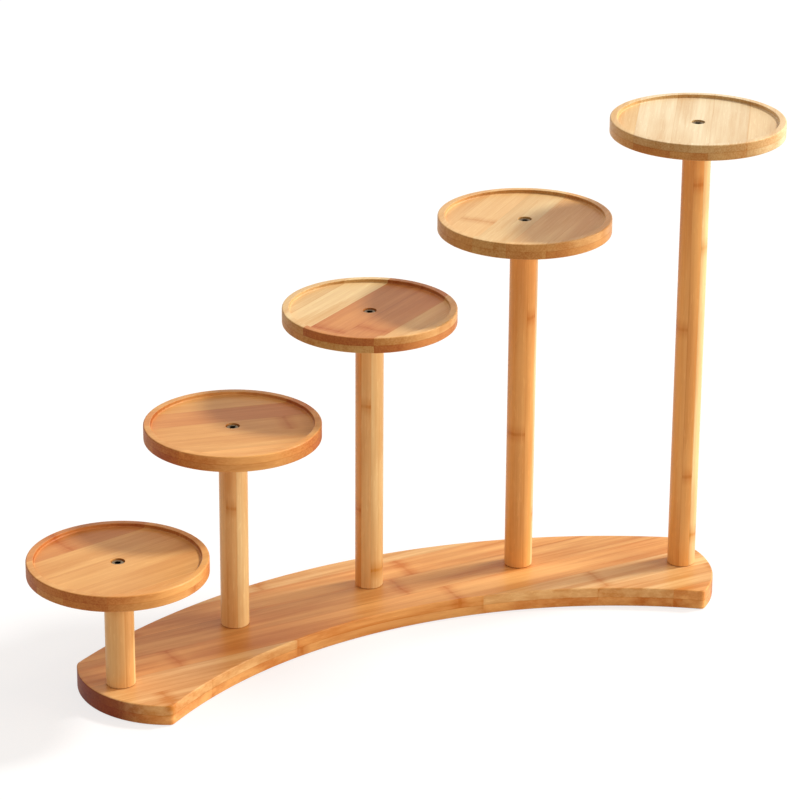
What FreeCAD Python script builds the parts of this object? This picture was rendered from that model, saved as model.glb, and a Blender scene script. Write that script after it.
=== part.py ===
import FreeCAD, Part
import math
import os

# A tiered plant stand of laminated bamboo. Round dished trays stand on round posts of rising
# length, and the posts stand in an arc on one curved board. A single socket screw holds each
# tray to its post, and one screw from beneath holds each post to the board.
#
# Frame: millimetres, +Z up. The origin is on the table under the middle of the whole stand.
# +X runs along the stand from the shortest post to the longest, and the hollow side of the
# curved board faces -Y. The model is built about the centre of the board's arc, and every
# piece is moved to the origin as it is saved.

# Trays
TRAY_RADIUS = 60.0
TRAY_THICKNESS = 11.0
TRAY_RIM_WIDTH = 5.0
TRAY_DISH_DEPTH = 2.5
TRAY_SEAT_THICKNESS = 4.0       # bamboo left under the screw's head
TRAY_EDGE_ROUND = 1.0           # outer edges, top and bottom
TRAY_DISH_ROUND = 0.5           # inner edge of the rim
TRAY_DISH_COVE = 1.6            # hollow rounding between the dish's floor and its wall

# Posts, from the left end of the stand to the right end
POST_RADIUS = 9.75
POST_1_LENGTH = 80.0
POST_2_LENGTH = 138.0
POST_3_LENGTH = 197.0
POST_4_LENGTH = 251.0
POST_5_LENGTH = 320.0
POST_END_CHAMFER = 0.6
POST_CIRCLE_RADIUS = 390.0
POST_INNER_DEGREES = 16.5       # from the middle post to the next one on each side
POST_END_DEGREES = 33.7         # from the middle post to the post at each end

# Curved base board
BOARD_THICKNESS = 14.0
BOARD_BACK_WIDTH = 42.0         # from the circle of the posts to the outer edge
BOARD_FRONT_WIDTH = 48.0        # from the circle of the posts to the inner, hollow edge
BOARD_BACK_SETBACK = 10.0       # outer corner, along the arc, short of the end post
BOARD_LEFT_OVERHANG = 12.0      # inner corner, along the arc, past the left end post
BOARD_LEFT_BULGE = 20.0         # height of the left end's outward curve above its chord
BOARD_RIGHT_OVERHANG = 18.5     # the right end reaches further in front of its post
BOARD_RIGHT_BULGE = 16.5        # and is the flatter of the two
BOARD_CORNER_RADIUS = 2.0
BOARD_EDGE_ROUND = 1.0
BOARD_HEAD_SINK = 2.0           # depth of a screw's head above the underside

# Low-head M5 socket screws: threads are plain cylinders
SCREW_RADIUS = 2.5
SCREW_HEAD_RADIUS = 4.25
SCREW_HEAD_HEIGHT = 3.5
SCREW_HEAD_CHAMFER = 0.4
SCREW_TIP_CHAMFER = 0.5
SCREW_HEX_ACROSS_FLATS = 4.0
SCREW_HEX_DEPTH = 2.0
HEX_SIDES = 6
TRAY_SCREW_LENGTH = 16.0
BASE_SCREW_LENGTH = 20.0

# Threaded inserts in both ends of every post
INSERT_RADIUS = 4.0
INSERT_LENGTH = 13.0
INSERT_SINK = 0.5               # below the post's end face
INSERT_GROOVES = 5              # outer thread, as rings
INSERT_GROOVE_DEPTH = 0.5

# Clearances, all on the radius unless they say otherwise
THREAD_CLEARANCE = 0.05
TRAY_TURNING_CLEARANCE = 0.08   # the tray turns on its screw
BOARD_HOLE_CLEARANCE = 0.25
HEAD_CLEARANCE = 0.5
SCREW_TIP_ROOM = 3.0            # depth, past the screw's tip

TINY = 0.001                    # two heights or radii nearer than this are the same

# Sizes that follow
ORIGIN = FreeCAD.Vector(0, 0, 0)
UP = FreeCAD.Vector(0, 0, 1)
DOWN = FreeCAD.Vector(0, 0, -1)
FULL_TURN = 360.0

BOARD_OUTER_RADIUS = POST_CIRCLE_RADIUS + BOARD_BACK_WIDTH
BOARD_INNER_RADIUS = POST_CIRCLE_RADIUS - BOARD_FRONT_WIDTH
POST_LENGTHS = (POST_1_LENGTH, POST_2_LENGTH, POST_3_LENGTH, POST_4_LENGTH, POST_5_LENGTH)
POST_DEGREES = (
    -POST_END_DEGREES, -POST_INNER_DEGREES, 0.0, POST_INNER_DEGREES, POST_END_DEGREES)

TRAY_DISH_RADIUS = TRAY_RADIUS - TRAY_RIM_WIDTH
TRAY_FLOOR_THICKNESS = TRAY_THICKNESS - TRAY_DISH_DEPTH
TRAY_SCREW_REACH = TRAY_SCREW_LENGTH - TRAY_SEAT_THICKNESS

HEAD_HOLE_RADIUS = SCREW_HEAD_RADIUS + HEAD_CLEARANCE
BOARD_HEAD_HOLE_DEPTH = BOARD_HEAD_SINK + SCREW_HEAD_HEIGHT
BASE_SCREW_REACH = BASE_SCREW_LENGTH - (BOARD_THICKNESS - BOARD_HEAD_HOLE_DEPTH)
INSERT_HOLE_RADIUS = INSERT_RADIUS + THREAD_CLEARANCE
INSERT_BORE_RADIUS = SCREW_RADIUS + THREAD_CLEARANCE
INSERT_END_DEPTH = INSERT_SINK + INSERT_LENGTH


def on_circle(radius, degrees):
    """Point at that radius, turned from +Y towards +X about the centre of the arc."""
    angle = math.radians(degrees)
    return FreeCAD.Vector(radius * math.sin(angle), radius * math.cos(angle), 0)


def along_arc(length, radius):
    """Angle, in degrees, of a stretch of that length on a circle of that radius."""
    return math.degrees(length / radius)


def turned(profile):
    """Solid of revolution about the Z axis, from (radius, height) corners."""
    corners = [FreeCAD.Vector(radius, 0, height) for radius, height in profile]
    outline = Part.makePolygon(corners + corners[:1])
    return Part.Face(outline).revolve(ORIGIN, UP, FULL_TURN)


def ring_edges(solid, radius, height):
    """Circular edges of the solid with that radius at that height."""
    found = []
    for edge in solid.Edges:
        if not isinstance(edge.Curve, Part.Circle):
            continue
        if abs(edge.Curve.Radius - radius) < TINY and abs(edge.Curve.Center.z - height) < TINY:
            found.append(edge)
    return found


def level_edges(solid, height):
    """Edges of the solid that lie flat at that height."""
    return [
        edge for edge in solid.Edges
        if abs(edge.BoundBox.ZMin - height) < TINY and abs(edge.BoundBox.ZMax - height) < TINY
    ]


def upright_edges(solid, height):
    """Edges of the solid that stand that tall."""
    return [edge for edge in solid.Edges if abs(edge.BoundBox.ZLength - height) < TINY]


def drilled_seat(radius, head_radius, head_depth, length):
    """Cutter for a screw hole with a flat-bottomed head recess that opens at z = 0, pointing up."""
    shank = Part.makeCylinder(radius, length)
    head = Part.makeCylinder(head_radius, head_depth)
    return shank.fuse(head)


def make_tray():
    """Dished tray, with its underside at z = 0 and its screw hole on the Z axis."""
    tray = turned([
        (0, 0),
        (TRAY_RADIUS, 0),
        (TRAY_RADIUS, TRAY_THICKNESS),
        (TRAY_DISH_RADIUS, TRAY_THICKNESS),
        (TRAY_DISH_RADIUS, TRAY_FLOOR_THICKNESS),
        (0, TRAY_FLOOR_THICKNESS),
    ])
    outer = ring_edges(tray, TRAY_RADIUS, 0) + ring_edges(tray, TRAY_RADIUS, TRAY_THICKNESS)
    tray = tray.makeFillet(TRAY_EDGE_ROUND, outer)
    tray = tray.makeFillet(TRAY_DISH_ROUND, ring_edges(tray, TRAY_DISH_RADIUS, TRAY_THICKNESS))
    tray = tray.makeFillet(
        TRAY_DISH_COVE, ring_edges(tray, TRAY_DISH_RADIUS, TRAY_FLOOR_THICKNESS))
    head_depth = TRAY_FLOOR_THICKNESS - TRAY_SEAT_THICKNESS
    hole = drilled_seat(
        SCREW_RADIUS + TRAY_TURNING_CLEARANCE, HEAD_HOLE_RADIUS, head_depth, TRAY_FLOOR_THICKNESS)
    hole.rotate(ORIGIN, FreeCAD.Vector(1, 0, 0), FULL_TURN / 2)
    hole.translate(UP * TRAY_FLOOR_THICKNESS)
    return tray.cut(hole)


def make_post(length):
    """Round post from z = 0 to its length, bored at both ends for the inserts."""
    post = Part.makeCylinder(POST_RADIUS, length)
    ends = ring_edges(post, POST_RADIUS, 0) + ring_edges(post, POST_RADIUS, length)
    post = post.makeChamfer(POST_END_CHAMFER, ends)
    foot_depth = max(INSERT_END_DEPTH, BASE_SCREW_REACH) + SCREW_TIP_ROOM
    top_depth = max(INSERT_END_DEPTH, TRAY_SCREW_REACH) + SCREW_TIP_ROOM
    foot_bore = Part.makeCylinder(INSERT_HOLE_RADIUS, foot_depth)
    top_bore = Part.makeCylinder(INSERT_HOLE_RADIUS, top_depth, UP * length, DOWN)
    return post.cut(foot_bore).cut(top_bore)


def make_insert():
    """Threaded insert from z = 0 up, with its coarse outer thread as V-shaped rings."""
    pitch = INSERT_LENGTH / INSERT_GROOVES
    outside = [(INSERT_RADIUS, 0)]
    for ring in range(INSERT_GROOVES):
        outside.append((INSERT_RADIUS - INSERT_GROOVE_DEPTH, (ring + 0.5) * pitch))
        outside.append((INSERT_RADIUS, (ring + 1) * pitch))
    bore = [(INSERT_BORE_RADIUS, INSERT_LENGTH), (INSERT_BORE_RADIUS, 0)]
    return turned(outside + bore)


def make_screw(length):
    """Socket screw with the underside of its head at z = 0 and its shank pointing down."""
    top = SCREW_HEAD_HEIGHT
    screw = turned([
        (0, -length),
        (SCREW_RADIUS - SCREW_TIP_CHAMFER, -length),
        (SCREW_RADIUS, -length + SCREW_TIP_CHAMFER),
        (SCREW_RADIUS, 0),
        (SCREW_HEAD_RADIUS, 0),
        (SCREW_HEAD_RADIUS, top - SCREW_HEAD_CHAMFER),
        (SCREW_HEAD_RADIUS - SCREW_HEAD_CHAMFER, top),
        (0, top),
    ])
    corner_radius = SCREW_HEX_ACROSS_FLATS / 2 / math.cos(math.pi / HEX_SIDES)
    corners = [
        on_circle(corner_radius, FULL_TURN / HEX_SIDES * side) for side in range(HEX_SIDES + 1)]
    socket = Part.Face(Part.makePolygon(corners)).extrude(UP * SCREW_HEX_DEPTH)
    socket.translate(UP * (top - SCREW_HEX_DEPTH))
    return screw.cut(socket)


def end_curve(side, overhang, bulge):
    """Outward curve of one end of the board, from its outer corner to its inner corner."""
    back = POST_END_DEGREES - along_arc(BOARD_BACK_SETBACK, BOARD_OUTER_RADIUS)
    front = POST_END_DEGREES + along_arc(overhang, BOARD_INNER_RADIUS)
    outer_corner = on_circle(BOARD_OUTER_RADIUS, side * back)
    inner_corner = on_circle(BOARD_INNER_RADIUS, side * front)
    chord = outer_corner - inner_corner
    outward = chord.cross(UP * side).normalize()
    crown = (outer_corner + inner_corner) * 0.5 + outward * bulge
    return outer_corner, crown, inner_corner


def board_outline():
    """Closed outline of the board: two arcs about the same centre, and its two curved ends."""
    right_back, right_crown, right_front = end_curve(1, BOARD_RIGHT_OVERHANG, BOARD_RIGHT_BULGE)
    left_back, left_crown, left_front = end_curve(-1, BOARD_LEFT_OVERHANG, BOARD_LEFT_BULGE)
    arcs = [
        Part.Arc(left_back, on_circle(BOARD_OUTER_RADIUS, 0), right_back),
        Part.Arc(right_back, right_crown, right_front),
        Part.Arc(right_front, on_circle(BOARD_INNER_RADIUS, 0), left_front),
        Part.Arc(left_front, left_crown, left_back),
    ]
    return Part.Wire([arc.toShape() for arc in arcs])


def post_places():
    """Where each post's axis meets the table."""
    return [on_circle(POST_CIRCLE_RADIUS, degrees) for degrees in POST_DEGREES]


def make_board(outline, places):
    """Curved board on the table, with a stepped screw hole from beneath under every post."""
    board = Part.Face(outline).extrude(UP * BOARD_THICKNESS)
    board = board.makeFillet(BOARD_CORNER_RADIUS, upright_edges(board, BOARD_THICKNESS))
    edges = level_edges(board, 0) + level_edges(board, BOARD_THICKNESS)
    board = board.makeFillet(BOARD_EDGE_ROUND, edges)
    hole = drilled_seat(
        SCREW_RADIUS + BOARD_HOLE_CLEARANCE, HEAD_HOLE_RADIUS, BOARD_HEAD_HOLE_DEPTH, BOARD_THICKNESS)
    for place in places:
        board = board.cut(hole.translated(place))
    return board


def stand_centre(outline):
    """Middle of the whole stand on the table, from its front-most and back-most points."""
    end_post = on_circle(POST_CIRCLE_RADIUS, POST_END_DEGREES)
    front = min(end_post.y - TRAY_RADIUS, outline.BoundBox.YMin)
    back = max(POST_CIRCLE_RADIUS + TRAY_RADIUS, BOARD_OUTER_RADIUS)
    return FreeCAD.Vector(0, (front + back) / 2, 0)


def save(shape, name, place, centre):
    """Write one piece as its own file, at its place in the stand's frame."""
    piece = shape.translated(place - centre)
    print(name, "solids", len(piece.Solids), "valid", piece.isValid(),
          "volume %.1f" % piece.Volume, "place", [round(value, 2) for value in place - centre])
    piece.exportStep(os.path.join("parts", name + ".step"))


def main():
    """Make every piece and write it to the parts folder."""
    os.makedirs("parts", exist_ok=True)
    outline = board_outline()
    places = post_places()
    centre = stand_centre(outline)
    save(make_board(outline, places), "base_board", ORIGIN, centre)

    tray = make_tray()
    tray_screw = make_screw(TRAY_SCREW_LENGTH)
    base_screw = make_screw(BASE_SCREW_LENGTH)
    base_screw.rotate(ORIGIN, FreeCAD.Vector(1, 0, 0), FULL_TURN / 2)
    insert = make_insert()
    for number, (place, length) in enumerate(zip(places, POST_LENGTHS), start=1):
        foot = place + UP * BOARD_THICKNESS
        top = foot + UP * length
        save(make_post(length), "post_%d" % number, foot, centre)
        save(insert, "foot_insert_%d" % number, foot + UP * INSERT_SINK, centre)
        save(insert, "top_insert_%d" % number, top + DOWN * INSERT_END_DEPTH, centre)
        save(base_screw, "base_screw_%d" % number, place + UP * BOARD_HEAD_HOLE_DEPTH, centre)
        save(tray, "tray_%d" % number, top, centre)
        save(tray_screw, "tray_screw_%d" % number, top + UP * TRAY_SEAT_THICKNESS, centre)


main()
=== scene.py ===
"""Tiered plant stand of laminated bamboo, dressed round its CAD frame.

Five round dished trays turn on five round posts, and the posts stand in an arc on one curved
board. Every piece is modelled in millimetres about its own foot, then scaled to metres and
moved to the place that the frame gives it. +X runs from the shortest post to the longest, the
hollow side of the board faces -Y, and +Z is up.
"""

import logging
import math
from collections.abc import Callable
from dataclasses import dataclass
from enum import Enum
from functools import partial

import bmesh
import bpy
from mathutils import Matrix, Vector


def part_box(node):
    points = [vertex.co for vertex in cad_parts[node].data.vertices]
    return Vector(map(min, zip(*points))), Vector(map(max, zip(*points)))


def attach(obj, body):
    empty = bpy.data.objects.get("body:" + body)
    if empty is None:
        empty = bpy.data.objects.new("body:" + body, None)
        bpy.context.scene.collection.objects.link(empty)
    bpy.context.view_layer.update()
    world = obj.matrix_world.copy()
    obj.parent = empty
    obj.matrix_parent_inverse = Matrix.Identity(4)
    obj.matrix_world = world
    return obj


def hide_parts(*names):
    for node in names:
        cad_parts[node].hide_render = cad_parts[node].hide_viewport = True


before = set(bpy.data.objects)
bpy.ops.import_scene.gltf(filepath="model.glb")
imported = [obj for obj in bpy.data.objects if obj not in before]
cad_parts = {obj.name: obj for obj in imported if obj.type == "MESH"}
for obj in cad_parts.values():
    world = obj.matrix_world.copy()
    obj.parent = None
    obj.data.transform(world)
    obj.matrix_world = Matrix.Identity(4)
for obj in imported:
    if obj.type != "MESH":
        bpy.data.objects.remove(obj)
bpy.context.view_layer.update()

LOG = logging.getLogger("plant_stand")

MM = 0.001                      # millimetres to metres
FULL_TURN = 2 * math.pi
NEAR = 0.01                     # mm: two rings nearer than this are the same ring
SHARP = math.radians(40)        # a sharper fold than this isn't shaded smooth
UP = Vector((0, 0, 1))
NUMBERS = range(1, 6)           # of the posts and their trays, from the shortest post
WHITE = "#FFFFFF"

FLOAT_A, FLOAT_B = 2, 3         # a Mix node's inputs for plain numbers
COLOUR_A, COLOUR_B = 6, 7       # and for colours

Maker = Callable[..., bpy.types.Node]       # add_node for one tree
Edges = list[bmesh.types.BMEdge]


# ---------------------------------------------------------------------------
# Colours and nodes
# ---------------------------------------------------------------------------

def linear(code: str, alpha: float = 1.0) -> tuple[float, float, float, float]:
    """Turns an sRGB hex colour into the linear values that Blender's sockets take.

    Args:
        code: The colour as six hex digits after a hash sign.
        alpha: The fourth value, passed through as it is.

    Returns:
        Red, green, blue and alpha.
    """
    channels = [int(code[place:place + 2], 16) / 255 for place in (1, 3, 5)]
    # The sRGB curve: straight in the darkest tones, a power above them
    curved = [c / 12.92 if c <= 0.04045 else ((c + 0.055) / 1.055) ** 2.4 for c in channels]
    return (curved[0], curved[1], curved[2], alpha)


def add_node(tree: bpy.types.NodeTree, kind: str, feeds: dict | tuple = (),
             stops: list | None = None, **settings: object) -> bpy.types.Node:
    """Adds one node, sets it up and links what feeds it.

    Args:
        tree: The node tree to add to.
        kind: The node's type, without the word ShaderNode in front.
        feeds: What goes into its inputs, in order, or by name or number: a value, an output
            socket, or a node, which gives the first of its outputs that is in use.
        stops: Places and colours of a colour ramp, from low to high.
        **settings: The node's own properties.

    Returns:
        The new node.
    """
    made = tree.nodes.new("ShaderNode" + kind)
    for name, value in settings.items():
        setattr(made, name, value)
    for key, value in feeds.items() if isinstance(feeds, dict) else enumerate(feeds):
        if isinstance(value, bpy.types.Node):
            value = next(socket for socket in value.outputs if socket.enabled)
        if isinstance(value, bpy.types.NodeSocket):
            tree.links.new(value, made.inputs[key])
        else:
            made.inputs[key].default_value = value
    if stops:
        elements = made.color_ramp.elements
        for element, (place, colour) in zip(elements, (stops[0], stops[-1])):
            element.position, element.color = place, colour
        for place, colour in stops[1:-1]:
            elements.new(place).color = colour
    return made


def new_material(name: str) -> bpy.types.Material:
    """Makes a material with no nodes yet.

    Args:
        name: The real material's name.

    Returns:
        The material.
    """
    material = bpy.data.materials.new(name)
    material.use_nodes = True
    material.node_tree.nodes.clear()
    return material


# ---------------------------------------------------------------------------
# Finishes
# ---------------------------------------------------------------------------

class Tone(Enum):
    """Tones of lacquered bamboo strips, from the palest to the most deeply steamed."""

    IVORY = "#FFF3D0"
    CREAM = "#FDE7BA"
    STRAW = "#FCE3AD"
    HONEY = "#FAD497"
    SYRUP = "#F9C279"
    AMBER = "#F0BC76"
    CARAMEL = "#E2A05E"


class Grain(Enum):
    """Patterns along the fibres: a mark's length and width in mm, detail and roughness."""

    FIBRE = (46.0, 1.1, 3.0, 0.6)       # real fibres are 0.3 mm, drawn as coarse as shows
    STREAK = (170.0, 5.0, 2.0, 0.5)
    CLOUD = (110.0, 16.0, 2.0, 0.5)
    FLECK = (11.0, 0.9, 1.0, 0.5)
    WANDER = (90.0, 8.0, 1.0, 0.5)      # how a knuckle's line waves
    WEAR = (200.0, 5.0, 1.0, 0.5)       # how strong the line is
    MOTTLE = (30.0, 2.0, 1.0, 0.5)      # how uneven the patch round it is


@dataclass(frozen=True)
class Strip:
    """One strip of a ply: its tone, and where its knuckle lies along the grain in mm."""

    tone: Tone
    knuckle: float


@dataclass(frozen=True)
class Bamboo:
    """Laminated bamboo under satin lacquer.

    Steamed bamboo is split, planed to strips and glued in plies. The eye sees strips of
    slightly different tone, fine straight fibre, darker streaks, a rough brown knuckle across
    each strip where the cane had a joint, hair-thin glue lines, and deeper brown end grain
    where a side cuts the fibres. The lacquer gives a soft broad shine.
    """

    name: str
    plies: tuple[tuple[Strip, ...], ...]        # lower ply, upper ply
    strip_width: float                          # mm
    centre: tuple[float, float, float]          # mm, origin of the lay-up
    turn: float = 0.0                           # degrees from +X to the grain
    upright: bool = False                       # the grain runs up, as in a post
    glue_height: float = 0.0                    # mm, between the plies
    seed: float = 0.0
    end_grain: str = "#CBB390"                  # what a square cut does to the tone
    cut_from: float = 0.1                       # how squarely a side cuts where that starts
    streak_depth: float = 0.12                  # how far streaks deepen the tone, from 0 to 1
    cloud_depth: float = 0.26                   # and broad clouds

    CODE_SPAN = 600.0           # mm of grain that the ramp's alpha stands for
    KNUCKLE_PERIOD = 216.0      # mm between the joints of one cane
    WAVE = 3.0                  # mm that a knuckle's line waves to and fro
    PLY_SEED = 20.0             # sets the upper ply's patterns apart from the lower's
    SCATTER = (900.0, 300.0, 300.0)     # mm by which patterns differ from strip to strip

    # Where a mark is at its strongest, and where it has faded to nothing
    SOFT_BAND = (0.64, 0.36)    # values of the noise, for streaks and clouds
    FIBRE_BAND = (0.66, 0.34)
    FLECK_BAND = (0.37, 0.30)   # leaves pale flecks in a slightly deeper ground
    LINE = (0.3, 2.0)           # mm from the middle of a knuckle
    HALO = (1.0, 9.0)           # and the patch round it
    GLUE = (0.14, 0.56)         # mm from the middle of a glue line, as coarse as shows
    FULL_CUT = 0.92             # how squarely a side cuts where it is all end grain

    # How far each mark deepens the tone, from 0 for not at all to 1 for the tint below
    FIBRE_DEPTH = 0.12
    CUT_FIBRE_DEPTH = 0.25      # more on end grain
    GROUND_DEPTH = 0.14         # between the pale flecks
    LINE_DEPTH = 0.26
    HALO_DEPTH = 0.36
    SEAM_DEPTH = 0.12           # between strips
    JOINT_DEPTH = 0.20          # between plies
    DEEP = "#CE9E5C"
    LEAST_LINE = 0.2            # share of its depth that a knuckle's line never loses
    LEAST_HALO = 0.5            # and the patch round it

    IOR = 1.5                   # of the lacquer
    GLOSS = 0.34                # its roughness
    CUT_GLOSS = 0.12            # duller on end grain
    FIBRE_GLOSS = 0.16          # and along the fibres
    SPECULAR = 0.30             # a thin satin coat shines less than a bare one
    RELIEF = 0.15               # mm
    RELIEF_STRENGTH = 0.30
    SUNK = -0.5                 # how far knuckles and glue lines lie below the fibre

    def axes(self) -> Matrix:
        """Axes of the lay-up.

        Returns:
            Rows along the grain, across the strips and through the plies.
        """
        angle = math.radians(self.turn)
        level = Vector((math.cos(angle), math.sin(angle), 0))
        side = Vector((-math.sin(angle), math.cos(angle), 0))
        return Matrix((UP, level, side)) if self.upright else Matrix((level, side, UP))

    def lie(self, put: Maker) -> tuple[bpy.types.Node, bpy.types.NodeSocket]:
        """Finds how a point lies to the grain.

        Args:
            put: Adds a node to the material.

        Returns:
            Its millimetres along, across and through the lay-up, and how far its surface
            faces along the grain.
        """
        turn = self.axes()
        source = put("TexCoord")
        place = put("Mapping", {
            "Vector": source.outputs["Object"], "Scale": (1 / MM,) * 3,
            "Rotation": turn.to_euler("XYZ"), "Location": -(turn @ Vector(self.centre))})
        facing = put("Mapping", {
            "Vector": source.outputs["Normal"], "Rotation": turn.to_euler("XYZ")},
            vector_type="NORMAL")
        return place, put("SeparateXYZ", (facing,)).outputs["X"]

    def ply_stops(self, ply: tuple[Strip, ...]) -> list:
        """Lists the strips of one ply as colours of a ramp.

        Args:
            ply: The strips, from one side to the other.

        Returns:
            Places and colours, with each strip's knuckle in the alpha: 0.5 stands for 0 mm.
        """
        return [
            (number / len(ply), linear(strip.tone.value, strip.knuckle / self.CODE_SPAN + 0.5))
            for number, strip in enumerate(ply)
        ]

    def strip_at(self, put: Maker, share: bpy.types.Node,
                 upper: bpy.types.Node) -> tuple[bpy.types.Node, bpy.types.Node]:
        """Finds the strip that a point is in.

        Args:
            put: Adds a node to the material.
            share: How far across the lay-up the point is, from 0 to 1.
            upper: 1 in the upper ply, 0 in the lower.

        Returns:
            The strip's tone, and the place of its knuckle along the grain in mm.
        """
        ramps = [put("ValToRGB", (share,), self.ply_stops(ply)) for ply in self.plies]
        for ramp in ramps:
            ramp.color_ramp.interpolation = "CONSTANT"
        tone = put("Mix", {0: upper, COLOUR_A: ramps[0], COLOUR_B: ramps[1]}, data_type="RGBA")
        code = put("Mix", {
            0: upper, FLOAT_A: ramps[0].outputs["Alpha"], FLOAT_B: ramps[1].outputs["Alpha"]},
            data_type="FLOAT")
        knuckle = put("Math", (code, self.CODE_SPAN, -self.CODE_SPAN / 2),
                      operation="MULTIPLY_ADD")
        return tone, knuckle

    def grains(self, put: Maker, place: bpy.types.Node, share: bpy.types.Node,
               upper: bpy.types.Node) -> dict[Grain, bpy.types.Node]:
        """Draws the patterns along the fibres, each strip with its own.

        Args:
            put: Adds a node to the material.
            place: The point in the lay-up, in mm.
            share: How far across the lay-up it is, from 0 to 1.
            upper: 1 in the upper ply, 0 in the lower.

        Returns:
            A noise from 0 to 1 for each pattern.
        """
        strip = put("Math", (share, len(self.plies[0])), operation="MULTIPLY")
        strip = put("Math", (strip,), operation="FLOOR")
        ply = put("Math", (upper, self.PLY_SEED, self.seed), operation="MULTIPLY_ADD")
        number = put("Math", (strip, ply), operation="ADD")
        scatter = put("TexWhiteNoise", {"W": number}, noise_dimensions="1D")
        own = put("VectorMath", (scatter.outputs["Color"], self.SCATTER, place),
                  operation="MULTIPLY_ADD")
        drawn = {}
        for grain in Grain:
            long, wide, detail, roughness = grain.value
            scaled = put("VectorMath", (own, (1 / long, 1 / wide, 1 / wide)),
                         operation="MULTIPLY")
            drawn[grain] = put("TexNoise", {
                "Vector": scaled, "Scale": 1.0, "Detail": detail, "Roughness": roughness})
        return drawn

    def build(self) -> bpy.types.Material:
        """Builds the material.

        Returns:
            The material, reading Object coordinates.
        """
        material = new_material(self.name)
        put = partial(add_node, material.node_tree)
        place, facing = self.lie(put)
        along, across, height = put("SeparateXYZ", (place,)).outputs

        # Which strip and ply the point is in
        half_span = len(self.plies[0]) * self.strip_width / 2
        inward = put("Math", (across, half_span), operation="ADD")
        share = put("Math", (inward, 2 * half_span), operation="DIVIDE")
        upper = put("Math", (height, self.glue_height), operation="GREATER_THAN")
        tone, knuckle = self.strip_at(put, share, upper)
        grain = self.grains(put, place, share, upper)

        # Millimetres to the strip's knuckle, to its glue lines and to the other ply
        away = put("Math", (along, knuckle), operation="SUBTRACT")
        away = put("Math", (away, self.WAVE / 2), operation="SUBTRACT")
        away = put("Math", (grain[Grain.WANDER], self.WAVE, away), operation="MULTIPLY_ADD")
        away = put("Math", (away, self.KNUCKLE_PERIOD / 2), operation="PINGPONG")
        to_seam = put("Math", (inward, self.strip_width / 2), operation="PINGPONG")
        to_joint = put("Math", (height, self.glue_height), operation="SUBTRACT")
        to_joint = put("Math", (to_joint,), operation="ABSOLUTE")
        facing = put("Math", (facing,), operation="ABSOLUTE")

        # Each mark is 1 where it is strongest and fades smoothly to 0
        streak, cloud, fibre, ground, line, halo, seam, joint, uncut = (
            put("MapRange", (value, *band, 1.0, 0.0), interpolation_type="SMOOTHSTEP")
            for value, band in (
                (grain[Grain.STREAK], self.SOFT_BAND), (grain[Grain.CLOUD], self.SOFT_BAND),
                (grain[Grain.FIBRE], self.FIBRE_BAND), (grain[Grain.FLECK], self.FLECK_BAND),
                (away, self.LINE), (away, self.HALO),
                (to_seam, self.GLUE), (to_joint, self.GLUE),
                (facing, (self.cut_from, self.FULL_CUT))))
        cut = put("Math", (1.0, uncut), operation="SUBTRACT")
        wear = put("Math", (grain[Grain.WEAR], self.LEAST_LINE), operation="ADD")
        line = put("Math", (line, wear), operation="MULTIPLY")
        mottle = put("Math", (grain[Grain.MOTTLE], 1 - self.LEAST_HALO, self.LEAST_HALO),
                     operation="MULTIPLY_ADD")
        halo = put("Math", (halo, mottle), operation="MULTIPLY")
        fibre_depth = put("Math", (cut, self.CUT_FIBRE_DEPTH, self.FIBRE_DEPTH),
                          operation="MULTIPLY_ADD")

        # Colour: the strip's tone, deepened by each of them, and browned by end grain
        depth = put("Math", (streak, self.streak_depth), operation="MULTIPLY")
        for mark, weight in (
                (cloud, self.cloud_depth), (fibre, fibre_depth), (ground, self.GROUND_DEPTH),
                (line, self.LINE_DEPTH), (halo, self.HALO_DEPTH),
                (seam, self.SEAM_DEPTH), (joint, self.JOINT_DEPTH)):
            depth = put("Math", (mark, weight, depth), operation="MULTIPLY_ADD")
        depth = put("Math", (depth, 1.0), operation="MINIMUM")
        colour = tone
        for amount, tint in ((depth, self.DEEP), (cut, self.end_grain)):
            tinted = put("Mix", {0: 1.0, COLOUR_A: colour, COLOUR_B: linear(tint)},
                         data_type="RGBA", blend_type="MULTIPLY")
            colour = put("Mix", {0: amount, COLOUR_A: colour, COLOUR_B: tinted},
                         data_type="RGBA")

        # Satin lacquer over slightly raised fibre
        sunk = put("Math", (line, seam), operation="ADD")
        relief = put("Math", (sunk, self.SUNK, grain[Grain.FIBRE]), operation="MULTIPLY_ADD")
        bump = put("Bump", {
            "Strength": self.RELIEF_STRENGTH, "Distance": self.RELIEF * MM, "Height": relief})
        gloss = put("Math", (cut, self.CUT_GLOSS, self.GLOSS), operation="MULTIPLY_ADD")
        gloss = put("Math", (grain[Grain.FIBRE], self.FIBRE_GLOSS, gloss),
                    operation="MULTIPLY_ADD")
        shader = put("BsdfPrincipled", {
            "Base Color": colour, "Roughness": gloss, "IOR": self.IOR,
            "Specular IOR Level": self.SPECULAR, "Normal": bump})
        put("OutputMaterial", (shader,))
        return material


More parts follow.
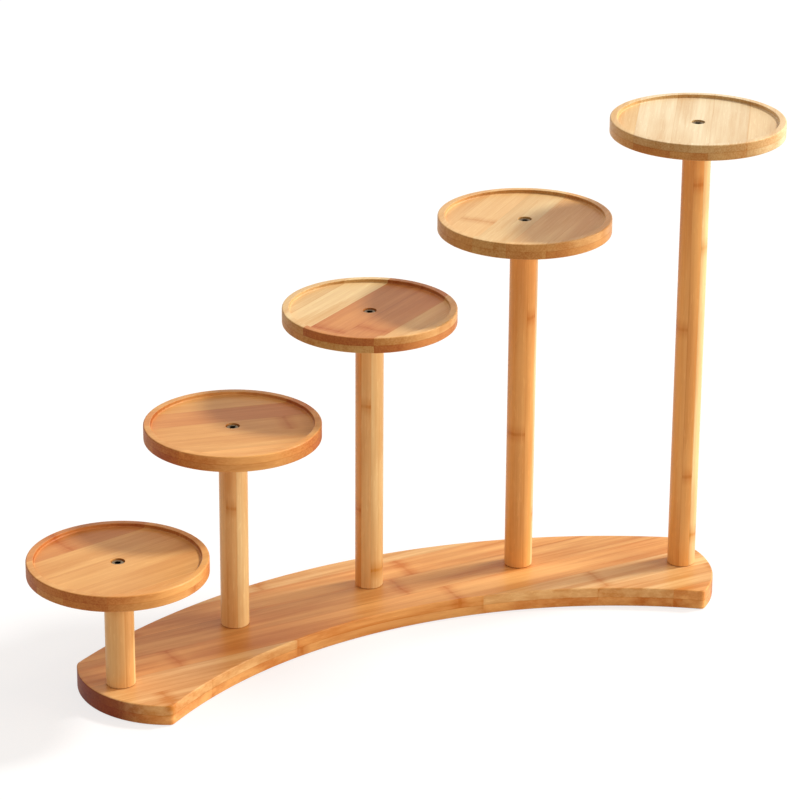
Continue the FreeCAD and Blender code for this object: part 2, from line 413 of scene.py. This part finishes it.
@dataclass(frozen=True)
class Metal:
    """Turned metal: a bright even sheen with fine tool marks that blur its gloss."""

    name: str
    colour: str
    dull: str
    roughness: float

    MARK = 0.5                  # mm: tool marks are 0.05 mm, drawn as coarse as shows
    MARK_DETAIL = 3.0
    MARK_ROUGHNESS = 0.6
    GLOSS_RANGE = (-0.08, 0.1)  # how far the marks change the roughness
    RELIEF = 0.03               # mm
    RELIEF_STRENGTH = 0.2

    def build(self) -> bpy.types.Material:
        """Builds the material.

        Returns:
            The material, reading Object coordinates.
        """
        material = new_material(self.name)
        put = partial(add_node, material.node_tree)
        fine = put("Mapping", {
            "Vector": put("TexCoord").outputs["Object"],
            "Scale": (1 / (self.MARK * MM),) * 3})
        marks = put("TexNoise", {
            "Vector": fine, "Scale": 1.0, "Detail": self.MARK_DETAIL,
            "Roughness": self.MARK_ROUGHNESS})
        colour = put("Mix", {
            0: marks, COLOUR_A: linear(self.colour), COLOUR_B: linear(self.dull)},
            data_type="RGBA")
        low, high = (self.roughness + change for change in self.GLOSS_RANGE)
        gloss = put("MapRange", (marks, 0.0, 1.0, low, high))
        bump = put("Bump", {
            "Strength": self.RELIEF_STRENGTH, "Distance": self.RELIEF * MM, "Height": marks})
        shader = put("BsdfPrincipled", {
            "Base Color": colour, "Roughness": gloss, "Metallic": 1.0, "Normal": bump})
        put("OutputMaterial", (shader,))
        return material


# A dull silver, darker and warmer than bare plating: the darkness is painted shade of the deep
# hole round each head, the warmth a painted reflection of the bamboo round it
STEEL_WITH_PAINTED_SHADE_AND_REFLECTION = Metal("Zinc-plated steel", "#A08C70", "#6E5E4A", 0.50)
# A dull yellow, a little smoother than the screws
BRASS = Metal("Turned brass", "#C9A25C", "#A9823F", 0.38)


# ---------------------------------------------------------------------------
# Mesh building
# ---------------------------------------------------------------------------

def ring_edges(bm: bmesh.types.BMesh, radius: float, height: float) -> Edges:
    """Finds the edges of the ring about Z at that radius and height.

    Args:
        bm: The mesh, in millimetres about its own axis.
        radius: The ring's radius.
        height: The ring's height.

    Returns:
        The ring's edges.
    """
    def on_ring(vert: bmesh.types.BMVert) -> bool:
        """Whether the vertex lies on the ring."""
        level = abs(vert.co.z - height) < NEAR
        return level and abs(vert.co.xy.length - radius) < NEAR

    return [edge for edge in bm.edges if all(on_ring(vert) for vert in edge.verts)]


def level_edges(bm: bmesh.types.BMesh, height: float) -> Edges:
    """Finds the edges that lie flat at that height.

    Args:
        bm: The mesh, in millimetres.
        height: The height.

    Returns:
        The edges.
    """
    return [edge for edge in bm.edges
            if all(abs(vert.co.z - height) < NEAR for vert in edge.verts)]


def round_edges(bm: bmesh.types.BMesh, edges: Edges, size: float, segments: int) -> None:
    """Rounds edges by a bevel.

    Args:
        bm: The mesh.
        edges: The edges to round.
        size: The width of the rounding.
        segments: How many facets it has.
    """
    bmesh.ops.bevel(
        bm, geom=edges, offset=size, offset_type="OFFSET", affect="EDGES", segments=segments,
        profile=0.5, material=-1, clamp_overlap=True)


def lathe(bm: bmesh.types.BMesh, profile: list[tuple[float, float]], steps: int,
          closed: bool = False) -> None:
    """Spins a profile of (radius, height) corners a full turn about Z.

    Args:
        bm: The mesh to add to.
        profile: The corners.
        steps: How many facets go round.
        closed: Whether the last corner joins the first.
    """
    corners = [bm.verts.new((radius, 0, height)) for radius, height in profile]
    edges = [bm.edges.new(pair) for pair in zip(corners, corners[1:])]
    if closed:
        edges.append(bm.edges.new((corners[-1], corners[0])))
    bmesh.ops.spin(
        bm, geom=corners + edges, axis=UP, cent=(0, 0, 0), angle=FULL_TURN, steps=steps,
        use_merge=True)
    bmesh.ops.remove_doubles(bm, verts=bm.verts, dist=NEAR / 10)


def to_piece(bm: bmesh.types.BMesh, name: str, place: Vector,
             material: bpy.types.Material) -> bpy.types.Object:
    """Turns a mesh in millimetres into a smooth-shaded piece at its place in metres.

    Args:
        bm: The mesh, freed here.
        name: The piece's name.
        place: Where its own origin goes, in metres.
        material: Its finish.

    Returns:
        The piece, with its object at the origin.
    """
    bmesh.ops.recalc_face_normals(bm, faces=bm.faces)
    bmesh.ops.scale(bm, vec=(MM, MM, MM), verts=bm.verts)
    bmesh.ops.translate(bm, vec=place, verts=bm.verts)
    for face in bm.faces:
        face.smooth = True
    mesh = bpy.data.meshes.new(name)
    bm.to_mesh(mesh)
    bm.free()
    mesh.set_sharp_from_angle(angle=SHARP)
    mesh.materials.append(material)
    piece = bpy.data.objects.new(name, mesh)
    bpy.context.scene.collection.objects.link(piece)
    weighted = piece.modifiers.new("Even shading", "WEIGHTED_NORMAL")
    weighted.keep_sharp = True
    return piece


def stand_in(piece: bpy.types.Object, node: str, body: str) -> None:
    """Puts a piece in the place of a CAD node.

    Args:
        piece: The new piece.
        node: The node that it replaces.
        body: The body that it rides on.
    """
    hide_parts(node)
    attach(piece, body)
    LOG.info("%s: %d faces, on %s", piece.name, len(piece.data.polygons), body)


def foot_of(node: str) -> Vector:
    """Finds the middle of a CAD node's underside.

    Args:
        node: The node's name.

    Returns:
        The point, in metres.
    """
    low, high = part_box(node)
    return Vector(((low.x + high.x) / 2, (low.y + high.y) / 2, low.z))


# ---------------------------------------------------------------------------
# Sub-assemblies
# ---------------------------------------------------------------------------

@dataclass
class SocketScrew:
    """Low-head M5 socket screw, with the underside of its head at z = 0."""

    node: str
    body: str
    length: float
    upside_down: bool = False
    radius: float = 2.5
    head_radius: float = 4.25
    head_height: float = 3.5
    head_round: float = 0.4
    tip_chamfer: float = 0.5
    across_flats: float = 4.0
    socket_depth: float = 2.0
    socket_sides: int = 6
    steps: int = 48

    def sink_socket(self, bm: bmesh.types.BMesh) -> None:
        """Closes the top of the head round a hexagonal socket.

        Args:
            bm: The screw's mesh, whose head is still open at the top.
        """
        top = self.head_height
        mouth = ring_edges(bm, self.head_radius - self.head_round, top)
        hexagon = bmesh.ops.create_circle(
            bm, segments=self.socket_sides, cap_ends=False,
            radius=self.across_flats / 2 / math.cos(math.pi / self.socket_sides))
        rim = list({edge for vert in hexagon["verts"] for edge in vert.link_edges})
        bmesh.ops.translate(bm, vec=UP * top, verts=hexagon["verts"])
        cut = bmesh.ops.subdivide_edges(
            bm, edges=rim, cuts=self.steps // self.socket_sides - 1)
        rim = [part for part in cut["geom"] if isinstance(part, bmesh.types.BMEdge)]
        bmesh.ops.bridge_loops(bm, edges=mouth + rim)
        sunk = bmesh.ops.extrude_edge_only(bm, edges=rim)["geom"]
        bottom = [part for part in sunk if isinstance(part, bmesh.types.BMVert)]
        bmesh.ops.translate(bm, vec=-UP * self.socket_depth, verts=bottom)
        floor = [part for part in sunk if isinstance(part, bmesh.types.BMEdge)
                 and all(vert in bottom for vert in part.verts)]
        bmesh.ops.contextual_create(bm, geom=floor)

    def build(self, material: bpy.types.Material) -> bpy.types.Object:
        """Builds the screw where its CAD node is.

        Args:
            material: The plated steel, its colour darkened by painted shade and warmed by
                painted reflection.

        Returns:
            The piece.
        """
        bm = bmesh.new()
        top = self.head_height
        lathe(bm, [
            (0, -self.length),
            (self.radius - self.tip_chamfer, -self.length),
            (self.radius, -self.length + self.tip_chamfer),
            (self.radius, 0),
            (self.head_radius, 0),
            (self.head_radius, top - self.head_round),
            (self.head_radius - self.head_round, top),
        ], self.steps)
        self.sink_socket(bm)
        place = foot_of(self.node)
        if self.upside_down:
            bmesh.ops.rotate(bm, verts=bm.verts, cent=(0, 0, 0),
                             matrix=Matrix.Rotation(math.pi, 3, "X"))
            place += UP * top * MM
        else:
            place += UP * self.length * MM
        piece = to_piece(bm, self.node + "_socket_screw", place, material)
        stand_in(piece, self.node, self.body)
        return piece


@dataclass
class ThreadedInsert:
    """Threaded insert in a post's end, carried over from the frame in its own shape."""

    node: str

    def dress(self, material: bpy.types.Material) -> None:
        """Gives the insert its metal.

        Args:
            material: The brass.
        """
        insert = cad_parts[self.node]
        insert.data.materials.clear()
        insert.data.materials.append(material)
        LOG.info("%s: carried over in brass", insert.name)


@dataclass
class RoundTray:
    """Round tray turned from two plies, with a shallow dish and a recessed screw hole."""

    number: int
    lay_up: Bamboo
    radius: float = 60.0
    thickness: float = 11.0
    rim_width: float = 5.0
    dish_depth: float = 2.5
    seat: float = 4.0           # bamboo left under the screw's head
    bore: float = 2.58          # radii of the holes for the screw and for its head
    head_hole: float = 4.75
    edge_round: float = 1.0
    lip_round: float = 0.5
    dish_fillet: float = 0.9
    hole_round: float = 0.3
    steps: int = 160

    def build(self) -> bpy.types.Object:
        """Builds the tray where its CAD node is.

        Returns:
            The piece.
        """
        bm = bmesh.new()
        dish = self.radius - self.rim_width
        floor = self.thickness - self.dish_depth
        lathe(bm, [
            (self.bore, 0), (self.radius, 0), (self.radius, self.thickness),
            (dish, self.thickness), (dish, floor), (self.head_hole, floor),
            (self.head_hole, self.seat), (self.bore, self.seat),
        ], self.steps, closed=True)
        for radius, height, size, segments in (
                (self.radius, 0, self.edge_round, 4),
                (self.radius, self.thickness, self.edge_round, 5),
                (dish, self.thickness, self.lip_round, 4),
                (dish, floor, self.dish_fillet, 6),
                (self.head_hole, floor, self.hole_round, 2)):
            round_edges(bm, ring_edges(bm, radius, height), size, segments)
        node = f"tray_{self.number}"
        piece = to_piece(bm, f"round_tray_{self.number}", foot_of(node), self.lay_up.build())
        stand_in(piece, node, f"turning_tray_{self.number}")
        return piece


@dataclass
class RoundPost:
    """Round post, bored at both ends for its inserts."""

    number: int
    lay_up: Bamboo
    radius: float = 9.75
    chamfer: float = 0.6
    bore: float = 4.05
    bore_depth: float = 16.5
    steps: int = 96

    def build(self) -> bpy.types.Object:
        """Builds the post where its CAD node is, as tall as the node.

        Returns:
            The piece.
        """
        node = f"post_{self.number}"
        low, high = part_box(node)
        length = (high.z - low.z) / MM
        bm = bmesh.new()
        lathe(bm, [
            (0, self.bore_depth), (self.bore, self.bore_depth), (self.bore, 0),
            (self.radius - self.chamfer, 0), (self.radius, self.chamfer),
            (self.radius, length - self.chamfer), (self.radius - self.chamfer, length),
            (self.bore, length), (self.bore, length - self.bore_depth),
            (0, length - self.bore_depth),
        ], self.steps)
        piece = to_piece(bm, f"round_post_{self.number}", foot_of(node), self.lay_up.build())
        stand_in(piece, node, "stand")
        return piece


@dataclass
class ArcBoard:
    """Curved base board of two plies, with a stepped screw hole under every post."""

    lay_up: Bamboo
    arc_centre: tuple[float, float] = (0.0, -357.231)
    outer_radius: float = 432.0
    inner_radius: float = 342.0
    thickness: float = 14.0
    end_degrees: float = 33.7
    back_setback: float = 10.0                      # of the outer corners, along the arc
    left_end: tuple[float, float] = (12.0, 20.0)    # reach of its inner corner, and bulge
    right_end: tuple[float, float] = (18.5, 16.5)
    corner_round: float = 2.0
    corner_segments: int = 5
    edge_round: float = 1.0
    edge_segments: int = 4
    head_hole: float = 4.75     # radii of the holes for a screw's head and for the screw
    bore: float = 2.75
    head_depth: float = 5.5
    arc_steps: int = 120
    end_steps: int = 40
    hole_steps: int = 48

    CORNER = math.radians(20)   # a sharper turn than this between two sides is a corner
    MOST_SIDES = 20             # a face with more edges than this is the top or the underside

    def on_arc(self, radius: float, degrees: float) -> Vector:
        """Finds a point on an arc of the board.

        Args:
            radius: The arc's radius.
            degrees: The turn from +Y towards +X.

        Returns:
            The point, in millimetres.
        """
        angle = math.radians(degrees)
        return Vector((
            self.arc_centre[0] + radius * math.sin(angle),
            self.arc_centre[1] + radius * math.cos(angle), 0))

    def sweep(self, bm: bmesh.types.BMesh, start: Vector, centre: Vector, angle: float,
              steps: int) -> None:
        """Draws an arc by spinning one vertex.

        Args:
            bm: The mesh to draw in.
            start: Where the arc begins.
            centre: Its centre.
            angle: How far it turns, anticlockwise, in radians.
            steps: How many edges it has.
        """
        vert = bm.verts.new(start)
        bmesh.ops.spin(bm, geom=[vert], cent=centre, axis=UP, angle=angle, steps=steps)

    def outline(self, bm: bmesh.types.BMesh) -> None:
        """Draws the closed outline: two long arcs and the two bulging ends.

        Args:
            bm: The mesh to draw in.
        """
        back = self.end_degrees - math.degrees(self.back_setback / self.outer_radius)
        middle = Vector((*self.arc_centre, 0))
        self.sweep(bm, self.on_arc(self.outer_radius, back), middle, 2 * math.radians(back),
                   self.arc_steps)
        fronts = []
        for side, (reach, bulge) in ((1, self.right_end), (-1, self.left_end)):
            front = side * (self.end_degrees + math.degrees(reach / self.inner_radius))
            outer = self.on_arc(self.outer_radius, side * back)
            inner = self.on_arc(self.inner_radius, front)
            chord = outer - inner
            half = chord.length / 2
            end_radius = (half ** 2 + bulge ** 2) / (2 * bulge)
            outward = chord.cross(UP).normalized() * side
            centre = inner + chord / 2 - outward * (end_radius - bulge)
            self.sweep(bm, inner if side > 0 else outer, centre,
                       2 * math.asin(half / end_radius), self.end_steps)
            fronts.append(front)
        self.sweep(bm, self.on_arc(self.inner_radius, fronts[0]), middle,
                   math.radians(fronts[0] - fronts[1]), self.arc_steps)
        bmesh.ops.remove_doubles(bm, verts=bm.verts, dist=NEAR)

    def stepped_hole(self, bm: bmesh.types.BMesh, place: Vector) -> None:
        """Adds the walls of one screw hole, open at both ends.

        Args:
            bm: The board's mesh.
            place: Where the hole's axis meets the underside.
        """
        hole = bmesh.new()
        lathe(hole, [
            (self.head_hole, 0), (self.head_hole, self.head_depth),
            (self.bore, self.head_depth), (self.bore, self.thickness)], self.hole_steps)
        bmesh.ops.translate(hole, vec=place, verts=hole.verts)
        walls = bpy.data.meshes.new("hole")
        hole.to_mesh(walls)
        hole.free()
        bm.from_mesh(walls)
        bpy.data.meshes.remove(walls)

    def build(self) -> bpy.types.Object:
        """Builds the board where its CAD node is.

        Returns:
            The piece.
        """
        bm = bmesh.new()
        self.outline(bm)
        bmesh.ops.contextual_create(bm, geom=bm.edges)
        raised = bmesh.ops.extrude_face_region(bm, geom=bm.faces)["geom"]
        raised = [part for part in raised if isinstance(part, bmesh.types.BMVert)]
        bmesh.ops.translate(bm, vec=UP * self.thickness, verts=raised)
        corners = [edge for edge in bm.edges
                   if abs(edge.verts[0].co.z - edge.verts[1].co.z) > NEAR
                   and edge.calc_face_angle(0) > self.CORNER]
        round_edges(bm, corners, self.corner_round, self.corner_segments)
        for height in (0.0, self.thickness):
            round_edges(bm, level_edges(bm, height), self.edge_round, self.edge_segments)

        # The two flat faces are filled anew, round the holes
        flats = [face for face in bm.faces if len(face.verts) > self.MOST_SIDES]
        bmesh.ops.delete(bm, geom=flats, context="FACES_ONLY")
        for number in NUMBERS:
            axis = foot_of(f"post_{number}") / MM
            self.stepped_hole(bm, Vector((axis.x, axis.y, 0)))
        for height in (0.0, self.thickness):
            mouths = [edge for edge in level_edges(bm, height) if edge.is_boundary]
            bmesh.ops.triangle_fill(bm, edges=mouths, use_beauty=True, normal=UP)
        piece = to_piece(bm, "arc_board", Vector((0, 0, 0)), self.lay_up.build())
        stand_in(piece, "base_board", "stand")
        return piece


# ---------------------------------------------------------------------------
# Lay-ups: how each piece's strips lie
# ---------------------------------------------------------------------------

FAR = 104.0                     # mm: puts a knuckle past the edge of a tray
TRAY_GLUE = 5.5                 # mm: height of the glue line in a tray
BOARD_GLUE = 7.0                # and in the board
NO_GLUE = -40.0                 # mm: puts it outside a post, which has one ply
LATH = 7.0                      # mm: width of a post's laths
SEED_STEP = 7.0                 # sets the patterns of neighbours apart
POST_SEED, BOARD_SEED = 100.0, 300.0


def strips(*pairs: tuple[Tone, float]) -> tuple[Strip, ...]:
    """Strips of one ply from (tone, knuckle) pairs."""
    return tuple(Strip(tone, knuckle) for tone, knuckle in pairs)


def tray_lay_up(number: int, turn: float, width: float, offset: float, lower: tuple,
                upper: tuple) -> Bamboo:
    """Lays up one tray.

    Args:
        number: The tray's number.
        turn: Degrees from +X to its grain.
        width: The width of its strips in mm.
        offset: How far the middle strip lies off the tray's axis, across the grain, in mm.
        lower: The strips of its lower ply.
        upper: The strips of its upper ply.

    Returns:
        The finish.
    """
    angle = math.radians(turn)
    aside = Vector((-math.sin(angle), math.cos(angle), 0)) * offset
    browner = number < 3        # the two lowest trays have browner sides
    return Bamboo(
        name=f"Lacquered bamboo, tray {number}", plies=(lower, upper), strip_width=width,
        centre=tuple(foot_of(f"tray_{number}") / MM + aside), turn=turn,
        glue_height=TRAY_GLUE, seed=number * SEED_STEP,
        end_grain="#D4B48C" if browner else "#D4C2A4")


def post_lay_up(number: int, turn: float, tones: tuple, knuckles: tuple) -> Bamboo:
    """Lays up one post: three laths glued side by side, with upright grain.

    Args:
        number: The post's number.
        turn: Degrees from +X to the direction across its laths.
        tones: The tone of each lath.
        knuckles: Height of each lath's knuckle above the post's foot, in mm.

    Returns:
        The finish.
    """
    laths = strips(*zip(tones, knuckles))
    return Bamboo(
        name=f"Lacquered bamboo, post {number}", plies=(laths, laths), strip_width=LATH,
        centre=tuple(foot_of(f"post_{number}") / MM), turn=turn, upright=True,
        glue_height=NO_GLUE, seed=POST_SEED + number * SEED_STEP)


def board_lay_up() -> Bamboo:
    """Lays up the board: strips along its length, not quite in line with it.

    Returns:
        The finish.
    """
    upper = strips(
        (Tone.SYRUP, 14), (Tone.HONEY, -200), (Tone.HONEY, 147), (Tone.SYRUP, 45),
        (Tone.AMBER, 17), (Tone.SYRUP, 35), (Tone.HONEY, -70), (Tone.HONEY, 40))
    lower = strips(
        (Tone.SYRUP, -30), (Tone.SYRUP, 167), (Tone.SYRUP, 10), (Tone.AMBER, -80),
        (Tone.SYRUP, 70), (Tone.AMBER, -20), (Tone.SYRUP, 55), (Tone.AMBER, 0))
    return Bamboo(
        name="Lacquered bamboo, board", plies=(lower, upper), strip_width=27.0,
        centre=(0.0, 4.0, 0.0), turn=1.8, glue_height=BOARD_GLUE, seed=BOARD_SEED,
        end_grain="#A0663C", cut_from=0.58, streak_depth=0.30, cloud_depth=0.34)


def trays() -> list[RoundTray]:
    """Lays up the five trays, from the shortest post to the tallest.

    Returns:
        The trays, each with its own lay-up.
    """
    ivory, cream, straw, honey, syrup, amber, caramel = Tone
    # Turn, strip width, offset, then the strips of the lower ply and of the upper
    lay_ups = (
        (13.0, 25.5, -6.4,
         ((amber, 20), (amber, FAR), (honey, -30), (caramel, FAR), (amber, 0)),
         ((syrup, FAR), (amber, FAR), (amber, FAR), (amber, FAR), (caramel, -13))),
        (-11.5, 23.5, -4.0,
         ((amber, FAR), (caramel, 10), (amber, FAR), (honey, -20), (amber, FAR)),
         ((syrup, FAR), (amber, FAR), (amber, 37), (caramel, FAR), (amber, FAR))),
        (32.0, 25.5, 4.25,
         ((caramel, FAR), (straw, FAR), (straw, FAR), (honey, FAR), (honey, FAR)),
         ((honey, FAR), (caramel, -30), (caramel, -46), (straw, FAR), (straw, FAR))),
        (40.0, 25.0, 3.0,
         ((amber, FAR), (honey, FAR), (straw, FAR), (honey, FAR), (honey, FAR)),
         ((honey, FAR), (honey, FAR), (straw, FAR), (honey, -16), (honey, FAR))),
        (56.0, 25.3, 3.5,
         ((ivory, FAR), (cream, FAR), (honey, FAR), (amber, FAR), (honey, FAR)),
         ((cream, FAR), (ivory, FAR), (ivory, FAR), (ivory, FAR), (straw, FAR))),
    )
    return [
        RoundTray(number, tray_lay_up(number, *place, strips(*lower), strips(*upper)))
        for number, (*place, lower, upper) in zip(NUMBERS, lay_ups)
    ]


def posts() -> list[RoundPost]:
    """Lays up the five posts, from the shortest to the tallest.

    Returns:
        The posts, each with its own lay-up.
    """
    straw, honey, syrup = Tone.STRAW, Tone.HONEY, Tone.SYRUP
    # Turn, then the tones of the laths and the heights of their knuckles
    lay_ups = (
        (20.0, (honey, honey, straw), (60.0, 110.0, 150.0)),
        (-35.0, (honey, honey, straw), (170.0, 90.0, 200.0)),
        (-41.0, (syrup, honey, straw), (60.0, 138.0, 230.0)),
        (10.0, (syrup, syrup, straw), (103.0, 190.0, 40.0)),
        (-20.0, (syrup, syrup, straw), (180.0, 70.0, 240.0)),
    )
    return [
        RoundPost(number, post_lay_up(number, *lay_up))
        for number, lay_up in zip(NUMBERS, lay_ups)
    ]


# ---------------------------------------------------------------------------
# Studio
# ---------------------------------------------------------------------------

@dataclass(frozen=True)
class Lamp:
    """One lamp: where its light comes from, how broad it is, and its strength."""

    name: str
    azimuth: float              # degrees from +X towards +Y
    elevation: float            # degrees above the floor
    strength: float             # share that it adds to a white card facing it
    colour: str
    spread: float               # degrees across for a sun, metres across for a softbox
    distance: float = 0.0       # metres; 0 makes it a sun

    AIM = (0.0, 0.0, 0.17)      # metres: the middle of the stand
    SUN_DISTANCE = 3.0          # metres: where a sun hangs doesn't change its light

    def build(self) -> None:
        """Hangs the lamp, aimed at the middle of the stand."""
        turn, rise = math.radians(self.azimuth), math.radians(self.elevation)
        towards = Vector((math.cos(turn) * math.cos(rise), math.sin(turn) * math.cos(rise),
                          math.sin(rise)))
        # A strength of 1 lights a white card that faces the lamp to plain white
        if self.distance:
            light = bpy.data.lights.new(self.name, "AREA")
            light.shape, light.size = "DISK", self.spread
            share = self.spread ** 2 / (self.spread ** 2 + 4 * self.distance ** 2)
            light.energy = self.strength * math.pi ** 2 * self.spread ** 2 / 4 / share
        else:
            light = bpy.data.lights.new(self.name, "SUN")
            light.angle = math.radians(self.spread)
            light.energy = self.strength * math.pi
        light.color = linear(self.colour)[:3]
        lamp = bpy.data.objects.new(self.name, light)
        lamp.location = Vector(self.AIM) + towards * (self.distance or self.SUN_DISTANCE)
        lamp.rotation_euler = (-towards).to_track_quat("-Z", "Y").to_euler()
        bpy.context.scene.collection.objects.link(lamp)
        LOG.info("lamp %s", self.name)


@dataclass
class Studio:
    """Pale floor, white surroundings, a key light from the right and two low softboxes."""

    floor_size: float = 12.0            # metres
    floor_drop: float = 0.0004          # metres below the board
    card: str = "#D8CFC2"
    seen_card: str = "#969698"          # the card's own share of the white that is seen
    glow: float = 0.74                  # and the share that keeps it white
    fill_strength: float = 0.46
    fill_colour: str = "#FFF0E2"
    lamps: tuple[Lamp, ...] = (
        Lamp("key", -4.0, 45.0, 0.74, "#FFFDF8", 10.0),
        Lamp("front softbox", -38.0, 12.0, 0.42, "#FFE6C8", 2.0, 4.0),
        Lamp("side softbox", -15.0, 8.0, 0.26, "#FFF4E4", 2.0, 4.0),
    )

    def backdrop(self, put: Maker) -> bpy.types.Node:
        """Finds the rays that should see plain white.

        Args:
            put: Adds a node to the tree.

        Returns:
            A node that gives 1 for them and 0 for the rest.
        """
        path = put("LightPath").outputs
        seen = put("Math", (path["Is Camera Ray"], path["Is Glossy Ray"]),
                   operation="MAXIMUM")
        return put("Math", (seen, path["Is Transmission Ray"]), operation="MAXIMUM")

    def world(self) -> None:
        """Lights the scene evenly, with white behind it."""
        world = bpy.data.worlds.new("Surroundings")
        bpy.context.scene.world = world
        world.use_nodes = True
        world.node_tree.nodes.clear()
        put = partial(add_node, world.node_tree)
        fill = put("Background", (linear(self.fill_colour), self.fill_strength))
        white = put("Background", (linear(WHITE), 1.0))
        both = put("MixShader", (self.backdrop(put), fill, white))
        put("OutputWorld", (both,))

    def floor(self) -> None:
        """Lays the floor just under the board: card that looks white and keeps the shadow."""
        bm = bmesh.new()
        bmesh.ops.create_grid(bm, x_segments=1, y_segments=1, size=self.floor_size / 2)
        bmesh.ops.translate(bm, vec=-UP * self.floor_drop, verts=bm.verts)
        mesh = bpy.data.meshes.new("floor")
        bm.to_mesh(mesh)
        bm.free()
        material = new_material("Matt card")
        put = partial(add_node, material.node_tree)
        seen = self.backdrop(put)
        colour = put("Mix", {
            0: seen, COLOUR_A: linear(self.card), COLOUR_B: linear(self.seen_card)},
            data_type="RGBA")
        card = put("BsdfDiffuse", (colour,))
        share = put("Math", (seen, self.glow), operation="MULTIPLY")
        white = put("Emission", (linear(WHITE), share))
        both = put("AddShader", (card, white))
        put("OutputMaterial", (both,))
        mesh.materials.append(material)
        floor = bpy.data.objects.new("floor", mesh)
        bpy.context.scene.collection.objects.link(floor)

    def build(self) -> None:
        """Builds the whole studio."""
        self.world()
        self.floor()
        for lamp in self.lamps:
            lamp.build()


@dataclass
class Viewpoint:
    """Camera at the height and distance of the picture."""

    lens: float = 156.96        # mm
    sensor: float = 36.0        # mm
    azimuth: float = -27.163    # degrees from -Y towards +X
    elevation: float = 22.078   # degrees above the floor
    roll: float = 0.355         # degrees
    distance: float = 2.33343   # metres from the target
    target: tuple[float, float, float] = (-0.01103, -0.0348, 0.18)
    nearest: float = 0.05       # metres: nothing nearer or farther than these is drawn
    farthest: float = 50.0

    def build(self) -> bpy.types.Object:
        """Builds the camera and makes it the scene's.

        Returns:
            The camera.
        """
        turn, rise, roll = (math.radians(a) for a in (self.azimuth, self.elevation, self.roll))
        back = Vector((math.sin(turn) * math.cos(rise), -math.cos(turn) * math.cos(rise),
                       math.sin(rise)))
        right = Vector((math.cos(turn), math.sin(turn), 0))
        top = back.cross(right)
        rolled = right * math.cos(roll) + top * math.sin(roll)
        axes = Matrix((rolled, back.cross(rolled), back)).transposed()
        data = bpy.data.cameras.new("camera")
        data.lens, data.sensor_width = self.lens, self.sensor
        data.clip_start, data.clip_end = self.nearest, self.farthest
        camera = bpy.data.objects.new("camera", data)
        camera.matrix_world = Matrix.Translation(
            Vector(self.target) + back * self.distance) @ axes.to_4x4()
        bpy.context.scene.collection.objects.link(camera)
        bpy.context.scene.camera = camera
        return camera


# ---------------------------------------------------------------------------
# The stand
# ---------------------------------------------------------------------------

TRAY_SCREW = 16.0               # mm: length of the screw in a tray
BASE_SCREW = 20.0               # and of the one under the board


def main() -> None:
    """Builds the stand, the studio and the camera in order."""
    logging.basicConfig(level=logging.INFO, format="%(message)s")
    bpy.context.scene.view_settings.view_transform = "Standard"
    ArcBoard(board_lay_up()).build()
    for post in posts():
        post.build()
    for tray in trays():
        tray.build()
    steel, brass = STEEL_WITH_PAINTED_SHADE_AND_REFLECTION.build(), BRASS.build()
    for number in NUMBERS:
        SocketScrew(f"tray_screw_{number}", "stand", TRAY_SCREW).build(steel)
        SocketScrew(
            f"base_screw_{number}", "stand", BASE_SCREW, upside_down=True).build(steel)
    for end in ("foot", "top"):
        for number in NUMBERS:
            ThreadedInsert(f"{end}_insert_{number}").dress(brass)
    Studio().build()
    Viewpoint().build()


if __name__ == "__main__":
    main()
